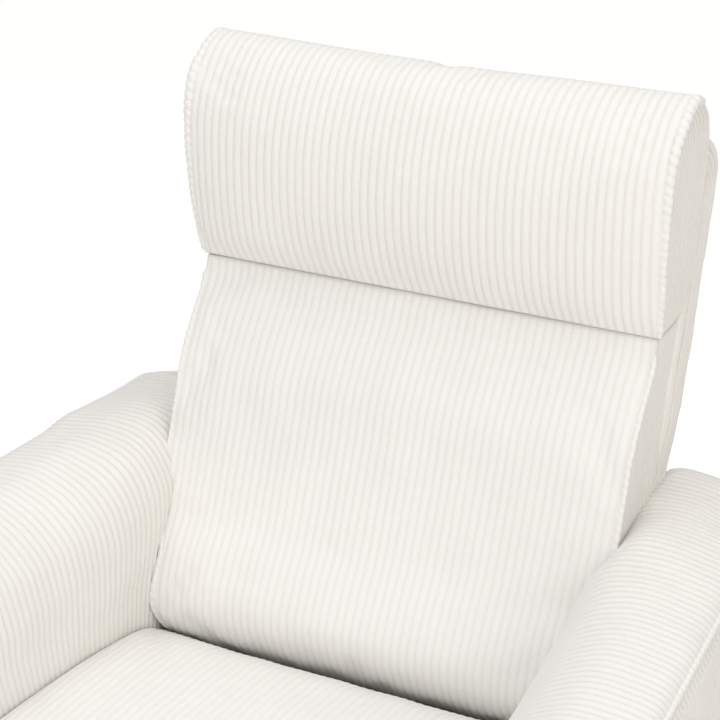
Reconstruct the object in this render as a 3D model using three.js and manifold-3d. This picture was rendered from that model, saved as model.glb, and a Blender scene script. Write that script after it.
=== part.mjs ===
// Push-back recliner armchair in wide-rib corduroy: a fixed seat between two arms, a back that
// reclines on side plates, and a footrest on folding links. Millimetres, +Z up, front towards -Y.
// Profiles are drawn with y = 0 on the seam under the headrest; the last lines centre the chair.
import * as THREE from 'three';
import { mergeVertices } from 'three/addons/utils/BufferGeometryUtils.js';
import Module from 'manifold-3d';

const wasm = await Module();
wasm.setup();

// ---- clearances ----
const touch = 0.3;             // between pieces that touch
const softGap = 3;             // between upholstered pieces that slide past each other

// ---- seat ----
const seatDepth = 510;         // crease to front edge
const seatRear = -150;         // back edge of the cushion
const seatHeight = 424;        // height of the crease
const seatCrown = 28;          // rise of the cushion's middle over the crease
const seatThickness = 67;      // cushion below the crease
const seatLip = 12;            // padded border hanging in front of the seat frame
const footrestGap = 9;         // open gap under that border

// ---- back ----
const backWidth = 510;
const backLean = 16.4;         // degrees from upright, along the rear face
const backTop = 941;           // height where the rear face starts to round over
const backTopRear = 141;       // y of the rear face at that height
const backBottom = 403;
const backCoverThickness = 16;
const backFrameDepth = 22;     // front to rear depth of the wooden back frame
const postWidth = 24;
const railHeight = 38;
const skirtDrop = 130;         // lower rear flap, below the recline pivot
const skirtThickness = 10;
const webbingHeight = 50;
const webbingThickness = 2;

// ---- headrest ----
const headrestBottom = 798;
const headrestTop = 1031;
const headrestBulge = 28;      // how far the roll stands in front of its lower seam

// ---- arms ----
const armHeight = 630;
const armWidth = 152;
const armSwell = 20;           // how far the arms close in just ahead of the back
const swellRear = -95;
const swellFront = -145;
const armFlare = 0.0717;       // sideways spread of the arms per mm, ahead of the swell
const armRear = 142;
const armFrontInset = 5;       // arm front behind the seat front
const armCornerRadius = 60;
const armFoamSide = 14;
const armFoamTop = 80;
const armEndFoam = 22;
const armBoard = 15;

// ---- base ----
const footHeight = 60;
const footRadius = 24;
const stretcherThickness = 20;
const seatRailHeight = 25;
const seatRailWidth = 28;
const rearPanelThickness = 18;
const rearPanelTop = 435;

// ---- mechanism ----
const plateThickness = 3;
const plateInset = 18;         // plate's outer face inside the seat rail's outer face
const plateHeight = 41;
const linkThickness = 6;
const linkWidth = 28;
const linkStep = 8;            // distance between neighbouring link planes
const linkLength = 180;
const linkRestAngle = 100;     // degrees below straight ahead
const pinRadius = 5;
const drivePivotInset = 100;   // behind the seat front
const drivePivotDrop = 41;     // below the springs
const pivotHeight = 360;       // recline pivot
const tubeRadius = 9;

// ---- footrest ----
const footrestHeight = 232;
const footrestBoard = 15;
const footrestPad = 55;
const footrestOffset = 25;     // board ahead of its pivot
const footrestRise = 10;       // board above its pivot

// ---- materials ----
const fabric = new THREE.MeshStandardMaterial({ color: 0xf2efe8, roughness: 0.95, metalness: 0 });
const plywood = new THREE.MeshStandardMaterial({ color: 0xc9a878, roughness: 0.75, metalness: 0 });
const steel = new THREE.MeshStandardMaterial({ color: 0x2b2b2d, roughness: 0.45, metalness: 0.6 });
const zinc = new THREE.MeshStandardMaterial({ color: 0xb4b6b8, roughness: 0.35, metalness: 0.9 });
const webbing = new THREE.MeshStandardMaterial({ color: 0x3a3f45, roughness: 0.9, metalness: 0 });
const plastic = new THREE.MeshStandardMaterial({ color: 0x1c1c1d, roughness: 0.55, metalness: 0 });

const chair = new THREE.Group();

function place(name, geometry, material) {
  const mesh = new THREE.Mesh(geometry, material);
  mesh.name = name;
  chair.add(mesh);
}

// ---- shape helpers ----

// Outline in the side view (y, z), carried across from x0 to x1.
function acrossX(shape, x0, x1) {
  const geometry = new THREE.ExtrudeGeometry(shape, { depth: x1 - x0, bevelEnabled: false, curveSegments: 8 });
  geometry.applyMatrix4(new THREE.Matrix4().makeBasis(
    new THREE.Vector3(0, 1, 0), new THREE.Vector3(0, 0, 1), new THREE.Vector3(1, 0, 0)));
  geometry.translate(x0, 0, 0);
  return geometry;
}

// Outline in plan (x, y), carried up from z0 to z1.
function upZ(shape, z0, z1) {
  const geometry = new THREE.ExtrudeGeometry(shape, { depth: z1 - z0, bevelEnabled: false, curveSegments: 8 });
  geometry.translate(0, 0, z0);
  return geometry;
}

function polygon(points) {
  return new THREE.Shape(points.map(([a, b]) => new THREE.Vector2(a, b)));
}

function box(x0, x1, y0, y1, z0, z1) {
  const geometry = new THREE.BoxGeometry(x1 - x0, y1 - y0, z1 - z0);
  geometry.translate((x0 + x1) / 2, (y0 + y1) / 2, (z0 + z1) / 2);
  return geometry;
}

function rodX(radius, x0, x1, y, z) {
  const geometry = new THREE.CylinderGeometry(radius, radius, x1 - x0, 20);
  geometry.rotateZ(Math.PI / 2);
  geometry.translate((x0 + x1) / 2, y, z);
  return geometry;
}

function toSolid(geometry) {
  const bare = geometry.clone();
  bare.deleteAttribute('normal');
  bare.deleteAttribute('uv');
  const merged = mergeVertices(bare, 1e-4);
  return new wasm.Manifold(new wasm.Mesh({
    numProp: 3,
    vertProperties: new Float32Array(merged.attributes.position.array),
    triVerts: new Uint32Array(merged.index.array),
  }));
}

function toGeometry(solid) {
  const mesh = solid.getMesh();
  const geometry = new THREE.BufferGeometry();
  geometry.setAttribute('position', new THREE.BufferAttribute(mesh.vertProperties, 3));
  geometry.setIndex(new THREE.BufferAttribute(mesh.triVerts, 1));
  return geometry;
}

const cut = (a, b) => toGeometry(toSolid(a).subtract(toSolid(b)));
const join = (a, b) => toGeometry(toSolid(a).add(toSolid(b)));
const overlap = (a, b) => toGeometry(toSolid(a).intersect(toSolid(b)));

// Side-view rectangle with its two upper corners rounded, as an outline.
function archedSide(y0, y1, z0, z1, frontRadius, rearRadius) {
  const shape = new THREE.Shape();
  shape.moveTo(y0, z0);
  shape.lineTo(y1, z0);
  shape.lineTo(y1, z1 - rearRadius);
  shape.absarc(y1 - rearRadius, z1 - rearRadius, rearRadius, 0, Math.PI / 2, false);
  shape.absarc(y0 + frontRadius, z1 - frontRadius, frontRadius, Math.PI / 2, Math.PI, false);
  shape.closePath();
  return shape;
}

// Places a piece and its mirror image, given the right-hand extent in x.
function placePair(name, maker, material) {
  place(`${name}_right`, maker(1), material);
  place(`${name}_left`, maker(-1), material);
}

// The extent from inner to outer, on the side asked for.
const span = (side, inner, outer) => (side > 0 ? [inner, outer] : [-outer, -inner]);

// ---- shared places ----
const seatFront = seatRear - seatDepth;
const armInnerRear = backWidth / 2 + softGap;
const armInner = (y) => armInnerRear + armFlare * Math.max(0, swellFront - y)
  - armSwell * THREE.MathUtils.clamp((swellRear - y) / (swellRear - swellFront), 0, 1);
const armOuter = (y) => armInnerRear - armSwell + armWidth + armFlare * Math.max(0, swellFront - y);
const armFront = seatFront + armFrontInset;
const rearFace = (z) => backTopRear - Math.tan(THREE.MathUtils.degToRad(backLean)) * (backTop - z);
const springThickness = 4;
const springTop = seatHeight - seatThickness - softGap;
const seatRailTop = springTop - springThickness - touch;
const seatRailBottom = seatRailTop - seatRailHeight;
const plateTop = seatRailBottom - touch;
const plateBottom = plateTop - plateHeight;

const railOuter = armInnerRear - armSwell - touch;
const railInner = railOuter - seatRailWidth;
const plateOuter = railOuter - plateInset;
const plateInner = plateOuter - plateThickness;
const driveOuter = plateInner - (linkStep - linkThickness);
const ottomanOuter = driveOuter - linkStep;
const bracketOuter = ottomanOuter - linkStep;

const frameFront = backCoverThickness + backFrameDepth;
const pivot = [rearFace(pivotHeight) - backCoverThickness - backFrameDepth / 2, pivotHeight];
const backBracketOuter = plateInner - softGap;
const postOuter = backBracketOuter - plateThickness - touch;
const postInner = postOuter - postWidth;

// ---- arms: foam and cover over a box frame, open underneath ----

// Cross-section of an arm as (distance from its inner face, height).
function armSection() {
  const shape = new THREE.Shape();
  shape.moveTo(0, footHeight + 2);
  shape.lineTo(armWidth, footHeight + 2);
  shape.lineTo(armWidth, armHeight - 54);
  shape.splineThru([
    new THREE.Vector2(armWidth - 2, armHeight - 32),
    new THREE.Vector2(armWidth - 6, armHeight - 18),
    new THREE.Vector2(armWidth - 14, armHeight - 10),
    new THREE.Vector2(armWidth - 30, armHeight - 5),
    new THREE.Vector2(88, armHeight - 2),
    new THREE.Vector2(55, armHeight),
    new THREE.Vector2(32, armHeight - 4),
    new THREE.Vector2(15, armHeight - 14),
    new THREE.Vector2(4, armHeight - 32),
    new THREE.Vector2(0, armHeight - 60),
  ]);
  shape.closePath();
  return shape;
}

// Carries a section from the front to the rear of an arm, stretched between its two faces.
function alongArm(section, y0, y1, side) {
  const stations = [y0, swellFront, swellRear, y1];
  const steps = stations.length - 1;
  const geometry = new THREE.ExtrudeGeometry(section, { depth: steps, steps, bevelEnabled: false, curveSegments: 16 });
  const position = geometry.attributes.position;
  for (let i = 0; i < position.count; i += 1) {
    const y = stations[Math.round(position.getZ(i))];
    const stretch = (armOuter(y) - armInner(y)) / armWidth;
    position.setXYZ(i, armInner(y) + position.getX(i) * stretch, y, position.getY(i));
  }
  const index = Array.from({ length: position.count }, (_, i) => i);
  for (let i = 0; side > 0 && i < index.length; i += 3) [index[i], index[i + 1]] = [index[i + 1], index[i]];
  geometry.setIndex(index);
  geometry.scale(side, 1, 1);
  return geometry;
}

const armBase = footHeight + 2;
const armFrameTop = armHeight - armFoamTop;

function arm(side) {
  const side0 = armWidth * 4;
  const outline = archedSide(armFront, armRear, armBase, armHeight, armCornerRadius, armCornerRadius);
  const body = overlap(alongArm(armSection(), armFront, armRear, side), acrossX(outline, -side0, side0));
  const hollow = polygon([[armFoamSide, armBase - 10], [armWidth - armFoamSide, armBase - 10],
    [armWidth - armFoamSide, armFrameTop], [armFoamSide, armFrameTop]]);
  return cut(body, alongArm(hollow, armFront + armEndFoam, armRear - armEndFoam, side));
}

function armFrame(side) {
  const inset = armFoamSide + touch;
  const ring = polygon([[inset, armBase], [armWidth - inset, armBase],
    [armWidth - inset, armFrameTop - touch], [inset, armFrameTop - touch]]);
  const bore = inset + armBoard;
  ring.holes.push(polygon([[bore, armBase + armBoard], [bore, armFrameTop - touch - armBoard],
    [armWidth - bore, armFrameTop - touch - armBoard], [armWidth - bore, armBase + armBoard]]));
  return alongArm(ring, armFront + armEndFoam + touch, armRear - armEndFoam - touch, side);
}

placePair('arm', arm, fabric);
placePair('arm_frame', armFrame, plywood);

// ---- feet: turned plastic feet under the ends of the arm frames ----
const footInset = armEndFoam + armBoard + footRadius;
for (const [end, y] of [['front', armFront + footInset], ['rear', armRear - footInset]]) {
  placePair(`foot_${end}`, (side) => {
    const radii = [[0, 0], [footRadius * 0.72, 0], [footRadius * 0.78, 4], [footRadius, footHeight - 8],
      [footRadius, armBase - touch], [0, armBase - touch]];
    const foot = new THREE.LatheGeometry(radii.map(([r, z]) => new THREE.Vector2(r, z)), 20);
    foot.rotateX(Math.PI / 2);
    foot.translate((side * (armInner(y) + armOuter(y))) / 2, y, 0);
    return foot;
  }, plastic);
}

// ---- base: stretchers, side plates and the upholstered rear panel ----
const drivePivot = [seatFront + drivePivotInset, seatRailTop - drivePivotDrop];

// A board across the chair whose ends follow the flared arms.
function crossBoard(y0, y1, z0, z1, clearance) {
  const half = (y) => armInner(y) - clearance;
  return upZ(polygon([[-half(y0), y0], [half(y0), y0], [half(y1), y1], [-half(y1), y1]]), z0, z1);
}

const frontStretcher = drivePivot[0] + 75;
const rearPanel = armRear - 5 - rearPanelThickness;
const rearStretcher = rearPanel - 2 - stretcherThickness;
place('front_stretcher',
  crossBoard(frontStretcher, frontStretcher + stretcherThickness, armBase, plateBottom - touch, touch), plywood);
place('rear_stretcher',
  crossBoard(rearStretcher, rearStretcher + stretcherThickness, armBase, plateBottom - touch, touch), plywood);
place('rear_panel', crossBoard(rearPanel, rearPanel + rearPanelThickness, armBase, rearPanelTop, 1), fabric);

// Steel plate with a rail along the seat and an ear up to the recline pivot.
function sidePlate(side) {
  const [x0, x1] = span(side, plateInner, plateOuter);
  const earRadius = 16;
  const outline = new THREE.Shape();
  outline.moveTo(drivePivot[0] - 20, plateBottom);
  outline.lineTo(rearStretcher + stretcherThickness, plateBottom);
  outline.lineTo(rearStretcher + stretcherThickness, plateTop);
  outline.lineTo(pivot[0] + 52, plateTop);
  outline.absarc(pivot[0], pivot[1], earRadius, THREE.MathUtils.degToRad(25), THREE.MathUtils.degToRad(155), false);
  outline.lineTo(pivot[0] - 52, plateTop);
  outline.lineTo(drivePivot[0] - 20, plateTop);
  outline.closePath();
  const bored = cut(acrossX(outline, x0, x1), rodX(pinRadius + touch, x0 - 1, x1 + 1, ...pivot));
  return cut(bored, rodX(pinRadius + touch, x0 - 1, x1 + 1, ...drivePivot));
}
placePair('side_plate', sidePlate, steel);

placePair('recline_pin', (side) => {
  const [x0, x1] = span(side, postOuter + touch, plateOuter);
  return rodX(pinRadius, x0, x1, ...pivot);
}, zinc);
placePair('drive_pin', (side) => {
  const [x0, x1] = span(side, driveOuter - linkThickness, plateOuter);
  return rodX(pinRadius, x0, x1, ...drivePivot);
}, zinc);

// ---- seat: wooden rails, sinuous springs and the cushion ----
const frontRail = [seatFront + 20, seatFront + 60];
const rearRail = [seatRear - 41, seatRear - 23];
placePair('seat_rail', (side) => {
  const [x0, x1] = span(side, railInner, railOuter);
  return box(x0, x1, frontRail[0], rearRail[1], seatRailBottom, seatRailTop);
}, plywood);
for (const [name, [y0, y1]] of [['seat_front_rail', frontRail], ['seat_rear_rail', rearRail]]) {
  place(name, box(-railInner + touch, railInner - touch, y0, y1, seatRailBottom, seatRailTop), plywood);
}

// A flat sinuous spring: a ribbon whose middle follows a sine wave from rail to rail.
function sinuousSpring(x) {
  const [y0, y1] = [frontRail[0] + 6, rearRail[1] - 4];
  const waves = Math.round((y1 - y0) / 48);
  const [swing, wire, perWave] = [24 * Math.sign(x), springThickness, 8];
  const middle = Array.from({ length: waves * perWave + 1 }, (_, i) => {
    const y = y0 + ((y1 - y0) * i) / (waves * perWave);
    const phase = (2 * Math.PI * i) / perWave;
    const slope = (swing * 2 * Math.PI * waves * Math.cos(phase)) / (y1 - y0);
    return { x: x + swing * Math.sin(phase), y, nx: 1 / Math.hypot(1, slope), ny: -slope / Math.hypot(1, slope) };
  });
  const edge = (sign) => middle.map((p) => [p.x + (sign * wire * p.nx) / 2, p.y + (sign * wire * p.ny) / 2]);
  return upZ(polygon([...edge(1), ...edge(-1).reverse()]), seatRailTop + touch, springTop);
}
const springPitch = (2 * railInner) / 5;
for (let i = 0; i < 4; i += 1) {
  place(`sinuous_spring_${i + 1}`, sinuousSpring((i - 1.5) * springPitch), zinc);
}

// Cushion: crowned in side view, as wide as the arms allow, with a waterfall front.
const seatBase = seatHeight - seatThickness;
function seatCushion() {
  const outline = new THREE.Shape();
  outline.moveTo(seatFront + 4, seatBase);
  outline.lineTo(seatRear, seatBase);
  outline.lineTo(seatRear, seatHeight);
  outline.splineThru([
    new THREE.Vector2(seatRear - 40, seatHeight + seatCrown * 0.55),
    new THREE.Vector2(seatRear - 130, seatHeight + seatCrown * 0.95),
    new THREE.Vector2(seatRear - seatDepth / 2, seatHeight + seatCrown),
    new THREE.Vector2(seatFront + 120, seatHeight + seatCrown * 0.85),
    new THREE.Vector2(seatFront + 40, seatHeight + seatCrown * 0.35),
    new THREE.Vector2(seatFront + 8, seatHeight - 14),
    new THREE.Vector2(seatFront, seatHeight - 34),
    new THREE.Vector2(seatFront + 2, seatBase + 14),
  ]);
  outline.closePath();
  const half = armInner(seatFront) + armWidth;
  const plan = crossBoard(seatFront - 5, seatRear + 5, seatBase - 5, seatHeight + seatCrown + 20, softGap);
  return overlap(acrossX(outline, -half, half), plan);
}
place('seat_cushion', seatCushion(), fabric);
place('seat_border', crossBoard(seatFront + 4, seatFront + 4 + seatLip,
  drivePivot[1] + footrestRise + footrestGap, seatBase - touch, softGap), fabric);

// ---- back: wooden frame, webbing, cushion, headrest and rear cover ----

// A slab parallel to the rear face, from one depth to another in front of it.
function leaned(front, rear, z0, z1) {
  return polygon([[rearFace(z0) - front, z0], [rearFace(z0) - rear, z0],
    [rearFace(z1) - rear, z1], [rearFace(z1) - front, z1]]);
}

placePair('back_post', (side) => {
  const [x0, x1] = span(side, postInner, postOuter);
  return acrossX(leaned(frameFront, backCoverThickness, pivotHeight - 45, backTop - 1), x0, x1);
}, plywood);
for (const [name, z] of [['back_bottom_rail', backBottom + 6], ['back_mid_rail', 640], ['back_top_rail', backTop - 40]]) {
  place(name, acrossX(leaned(frameFront, backCoverThickness, z, z + railHeight), -postInner + touch, postInner - touch),
    plywood);
}
for (const [i, z] of [470, 555, 745].entries()) {
  const front = frameFront - 4;
  place(`back_webbing_${i + 1}`,
    acrossX(leaned(front, front - webbingThickness, z, z + webbingHeight), -postInner + touch, postInner - touch), webbing);
}

placePair('back_bracket', (side) => {
  const [x0, x1] = span(side, postOuter + touch, backBracketOuter);
  const plate = acrossX(leaned(frameFront, backCoverThickness, pivotHeight - 16, backBottom + 110), x0, x1);
  return cut(plate, rodX(pinRadius + touch, x0 - 1, x1 + 1, ...pivot));
}, steel);

// Back cushion: its front follows a slack curve from the headrest seam to the seat crease.
function backCushion() {
  const rear = (z) => rearFace(z) - frameFront - touch;
  const outline = new THREE.Shape();
  outline.moveTo(seatRear + 27, backBottom);
  outline.lineTo(rear(backBottom), backBottom);
  outline.lineTo(rear(headrestBottom - touch), headrestBottom - touch);
  outline.lineTo(1, headrestBottom - touch);
  outline.splineThru([
    new THREE.Vector2(-34, 743),
    new THREE.Vector2(-70, 662),
    new THREE.Vector2(-91, 602),
    new THREE.Vector2(-113, 551),
    new THREE.Vector2(-133, 517),
    new THREE.Vector2(-150, 482),
    new THREE.Vector2(-156, 460),
    new THREE.Vector2(seatRear - 2, seatHeight + 14),
    new THREE.Vector2(seatRear + softGap + 1, seatHeight),
    new THREE.Vector2(seatRear + 14, seatHeight - 18),
  ]);
  outline.closePath();
  const slab = acrossX(outline, -backWidth / 2, backWidth / 2);
  const beside = (y) => [armInner(y) - softGap, y];
  const mirrored = ([x, y]) => [-x, y];
  const edge = [beside(armRear), beside(swellRear), beside(swellFront), beside(swellFront - 20)];
  return overlap(slab, upZ(polygon([...edge, ...edge.map(mirrored).reverse()]), backBottom - 5, headrestBottom + 5));
}
place('back_cushion', backCushion(), fabric);

// Headrest: a D-shaped roll sewn over the upper back.
function headrest() {
  const rear = (z) => rearFace(z) - frameFront - touch;
  const height = headrestTop - headrestBottom;
  const outline = new THREE.Shape();
  outline.moveTo(0, headrestBottom);
  outline.lineTo(rear(headrestBottom), headrestBottom);
  outline.lineTo(rear(backTop + 12), backTop + 12);
  outline.splineThru([
    new THREE.Vector2(103, headrestTop - 38),
    new THREE.Vector2(90, headrestTop - 14),
    new THREE.Vector2(64, headrestTop),
    new THREE.Vector2(34, headrestTop - 5),
    new THREE.Vector2(10, headrestTop - 18),
    new THREE.Vector2(-8, headrestTop - 38),
    new THREE.Vector2(-20, headrestTop - 65),
    new THREE.Vector2(-headrestBulge, headrestBottom + height * 0.44),
    new THREE.Vector2(-headrestBulge + 8, headrestBottom + 26),
  ]);
  outline.closePath();
  return acrossX(outline, -backWidth / 2, backWidth / 2);
}
place('headrest', headrest(), fabric);

// Rear cover: a shallow tray over the back of the frame, open to the front and below.
function backCover() {
  const outer = leaned(frameFront, 0, backBottom, backTop + 9);
  const inner = leaned(frameFront + 20, backCoverThickness - touch, backBottom - 20, backTop - 1 + touch);
  const hollow = backBracketOuter + touch;
  return cut(acrossX(outer, -backWidth / 2, backWidth / 2), acrossX(inner, -hollow, hollow));
}
place('back_cover', backCover(), fabric);
place('back_skirt',
  acrossX(leaned(skirtThickness, 0, pivotHeight - skirtDrop, backBottom - touch), -postInner, postInner), fabric);

// ---- footrest linkage, drawn folded ----
// A point at a distance along a direction given in degrees above straight ahead.
function ahead([y, z], distance, degrees) {
  const angle = THREE.MathUtils.degToRad(degrees);
  return [y - distance * Math.cos(angle), z + distance * Math.sin(angle)];
}
const elbow = ahead(drivePivot, linkLength, -linkRestAngle);
const footPivot = ahead(elbow, linkLength, 180 - linkRestAngle);

// A flat bar with round ends between two points.
function bar(x0, x1, [ya, za], [yb, zb], width) {
  const angle = Math.atan2(zb - za, yb - ya);
  const shape = new THREE.Shape();
  shape.absarc(ya, za, width / 2, angle + Math.PI / 2, angle + (3 * Math.PI) / 2, false);
  shape.absarc(yb, zb, width / 2, angle - Math.PI / 2, angle + Math.PI / 2, false);
  shape.closePath();
  return acrossX(shape, x0, x1);
}

function bore(geometry, x0, x1, point, radius) {
  return cut(geometry, rodX(radius + touch, x0 - 1, x1 + 1, ...point));
}

// Drive links carry the sync tube on a lobe behind them, clear of the ottoman links.
const tubeOffset = linkWidth / 2 + tubeRadius + 5;
const tubeRoot = ahead(drivePivot, linkLength * 0.35, -linkRestAngle);
const tubeAxis = ahead(tubeRoot, tubeOffset, 270 - linkRestAngle);
placePair('drive_link', (side) => {
  const [x0, x1] = span(side, driveOuter - linkThickness, driveOuter);
  const link = join(bar(x0, x1, drivePivot, elbow, linkWidth), bar(x0, x1, tubeRoot, tubeAxis, linkWidth));
  const drilled = bore(bore(link, x0, x1, drivePivot, pinRadius), x0, x1, elbow, pinRadius);
  return bore(drilled, x0, x1, tubeAxis, tubeRadius);
}, steel);
place('sync_tube', rodX(tubeRadius, -driveOuter, driveOuter, ...tubeAxis), steel);
placePair('elbow_pin', (side) => {
  const [x0, x1] = span(side, ottomanOuter - linkThickness, driveOuter);
  return rodX(pinRadius, x0, x1, ...elbow);
}, zinc);

const barAxis = ahead(elbow, linkLength * 0.3, 180 - linkRestAngle);
placePair('ottoman_link', (side) => {
  const [x0, x1] = span(side, ottomanOuter - linkThickness, ottomanOuter);
  const link = bar(x0, x1, elbow, footPivot, linkWidth);
  const drilled = bore(bore(link, x0, x1, elbow, pinRadius), x0, x1, footPivot, pinRadius);
  return bore(drilled, x0, x1, barAxis, pinRadius);
}, steel);
place('cross_bar', rodX(pinRadius, -ottomanOuter, ottomanOuter, ...barAxis), steel);
placePair('footrest_pin', (side) => {
  const [x0, x1] = span(side, bracketOuter - linkThickness, ottomanOuter);
  return rodX(pinRadius, x0, x1, ...footPivot);
}, zinc);

// ---- footrest: padded board on two brackets ----
const boardRear = footPivot[0] - footrestOffset;
const boardTop = footPivot[1] + footrestRise;
const footrestHalf = armInner(armFront) - 3 * softGap;
place('footrest_board',
  box(-footrestHalf, footrestHalf, boardRear - footrestBoard, boardRear, boardTop - footrestHeight, boardTop), plywood);

function footrestCushion() {
  const [rear, front] = [boardRear - footrestBoard - touch, boardRear - footrestBoard - footrestPad];
  const [low, high] = [boardTop - footrestHeight, boardTop];
  const outline = new THREE.Shape();
  outline.moveTo(rear, low);
  outline.lineTo(rear, high);
  outline.splineThru([
    new THREE.Vector2(front + 14, high - 5),
    new THREE.Vector2(front + 2, high - 30),
    new THREE.Vector2(front, (low + high) / 2),
    new THREE.Vector2(front + 2, low + 30),
    new THREE.Vector2(front + 14, low + 5),
    new THREE.Vector2(rear, low),
  ]);
  return acrossX(outline, -footrestHalf, footrestHalf);
}
place('footrest_pad', footrestCushion(), fabric);

placePair('footrest_bracket', (side) => {
  const [x0, x1] = span(side, bracketOuter - linkThickness, bracketOuter);
  const [y, z] = footPivot;
  const lobe = linkWidth / 2;
  const shape = new THREE.Shape();
  shape.moveTo(boardRear + touch, z - 90);
  shape.lineTo(boardRear + touch + 8, z - 90);
  shape.absarc(y, z, lobe, -Math.PI / 5, Math.PI / 2, false);
  shape.lineTo(boardRear + touch, z + footrestRise);
  shape.closePath();
  return bore(acrossX(shape, x0, x1), x0, x1, footPivot, pinRadius);
}, steel);

// ---- centre the chair over the floor point under its middle ----
const bounds = new THREE.Box3().setFromObject(chair);
chair.position.y = -(bounds.min.y + bounds.max.y) / 2;

export default chair;
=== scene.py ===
import bmesh
import bpy
import numpy as np
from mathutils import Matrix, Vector


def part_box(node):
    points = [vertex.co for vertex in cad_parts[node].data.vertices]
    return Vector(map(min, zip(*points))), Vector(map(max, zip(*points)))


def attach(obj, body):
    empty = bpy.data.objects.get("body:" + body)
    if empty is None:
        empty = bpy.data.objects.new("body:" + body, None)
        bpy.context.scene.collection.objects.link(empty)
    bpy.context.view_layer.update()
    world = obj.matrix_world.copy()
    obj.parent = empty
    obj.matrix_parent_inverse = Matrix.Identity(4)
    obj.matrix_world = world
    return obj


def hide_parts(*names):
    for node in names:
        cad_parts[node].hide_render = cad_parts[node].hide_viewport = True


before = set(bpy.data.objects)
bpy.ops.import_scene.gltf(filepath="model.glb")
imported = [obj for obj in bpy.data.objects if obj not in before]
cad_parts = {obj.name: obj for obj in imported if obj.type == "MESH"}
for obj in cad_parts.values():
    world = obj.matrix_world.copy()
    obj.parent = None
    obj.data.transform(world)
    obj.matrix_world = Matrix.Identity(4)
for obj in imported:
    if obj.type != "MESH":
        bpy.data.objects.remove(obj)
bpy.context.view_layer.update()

# ---------------------------------------------------------------- room, light and camera
# A pale seamless floor and three broad soft lights, as in a catalogue studio, with a pale
# surround that fills the shadows. The camera looks down on the headrest and the seat's rear.
head_low, head_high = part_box("headrest")
head_bulge = 0.028
seam = Vector((0.0, head_low.y + head_bulge, head_low.z))      # middle of the seam under the headrest
white = (1.0, 1.0, 1.0)

camera_data = bpy.data.cameras.new("camera")
camera_data.lens = 108.65
camera_data.sensor_width = 36.0
camera = bpy.data.objects.new("camera", camera_data)
camera.location = seam + Vector((0.8717, -1.8448, 0.8370))
camera.rotation_euler = Vector((-0.4153, 0.8132, -0.4077)).to_track_quat("-Z", "Y").to_euler()
bpy.context.scene.collection.objects.link(camera)
bpy.context.scene.camera = camera
bpy.context.scene.view_settings.view_transform = "Standard"


def soft_light(name, place, size, watts, colour):
    """A square area lamp at a place, turned to face the chair's middle."""
    lamp_data = bpy.data.lights.new(name, "AREA")
    lamp_data.color = colour
    lamp_data.size = size
    lamp_data.energy = watts
    lamp = bpy.data.objects.new(name, lamp_data)
    lamp.location = place
    lamp.rotation_euler = (Vector((0, 0, 0.5)) - Vector(place)).to_track_quat("-Z", "Y").to_euler()
    bpy.context.scene.collection.objects.link(lamp)


soft_light("front", (0.4, -3.4, 1.0), 2.4, 34, white)
soft_light("side", (2.4, -1.6, 1.8), 2.4, 22, (1.0, 0.955, 0.885))
soft_light("overhead", (0.0, 0.0, 3.0), 3.0, 22.6, (1.0, 0.99, 0.97))

world = bpy.data.worlds.new("surround")
world.use_nodes = True
bpy.context.scene.world = world

floor_reach = 40.0
floor_mesh = bpy.data.meshes.new("floor")
floor_mesh.from_pydata([(-floor_reach, -floor_reach, 0), (floor_reach, -floor_reach, 0),
                        (floor_reach, floor_reach, 0), (-floor_reach, floor_reach, 0)], [], [(0, 1, 2, 3)])
floor = bpy.data.objects.new("floor", floor_mesh)
bpy.context.scene.collection.objects.link(floor)


class Wire:
    """A shader socket that takes Python arithmetic: each operator adds a Math node."""

    def __init__(self, tree, socket):
        self.tree = tree
        self.socket = socket

    def node(self, kind, settings=(), **sockets):
        """Adds a node of a type, sets its properties, then its sockets by name (spaces as _) or s0, s1."""
        made = self.tree.nodes.new(kind)
        for key, value in dict(settings).items():
            if key == "ramp":
                for stop, (place, colour) in zip(made.color_ramp.elements, value):
                    stop.position, stop.color = place, colour
            else:
                setattr(made, key, value)
        for key, value in sockets.items():
            target = made.inputs[int(key[1:])] if key[1:].isdigit() else made.inputs[key.replace("_", " ")]
            if isinstance(value, Wire):
                self.tree.links.new(value.socket, target)
            else:
                target.default_value = value
        return made

    def out(self, kind, output, settings=(), **sockets):
        """The named output of a new node, as a Wire."""
        return Wire(self.tree, self.node(kind, settings, **sockets).outputs[output])

    def between(self, factor, first, second):
        """A colour mixed from two, by a factor from 0 to 1."""
        return self.out("ShaderNodeMix", "Result", {"data_type": "RGBA"}, Factor=factor, s6=first, s7=second)

    def _maths(self, operation, a, b):
        return self.out("ShaderNodeMath", 0, {"operation": operation}, s0=a, s1=b)

    def __add__(self, other):
        return self._maths("ADD", self, other)

    def __sub__(self, other):
        return self._maths("SUBTRACT", self, other)

    def __rsub__(self, other):
        return self._maths("SUBTRACT", other, self)

    def __mul__(self, other):
        return self._maths("MULTIPLY", self, other)

    __radd__ = __add__
    __rmul__ = __mul__


def new_material(name, **principled):
    """A material with its Principled sockets set, and a Wire to build its other nodes from."""
    material = bpy.data.materials.new(name)
    material.use_nodes = True
    shader = material.node_tree.nodes["Principled BSDF"]
    for key, value in principled.items():
        shader.inputs[key.replace("_", " ")].default_value = value
    return material, shader, Wire(material.node_tree, None)


def feed(shader, socket, wire):
    """Links a Wire into one of the shader's sockets."""
    wire.tree.links.new(wire.socket, shader.inputs[socket])


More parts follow.
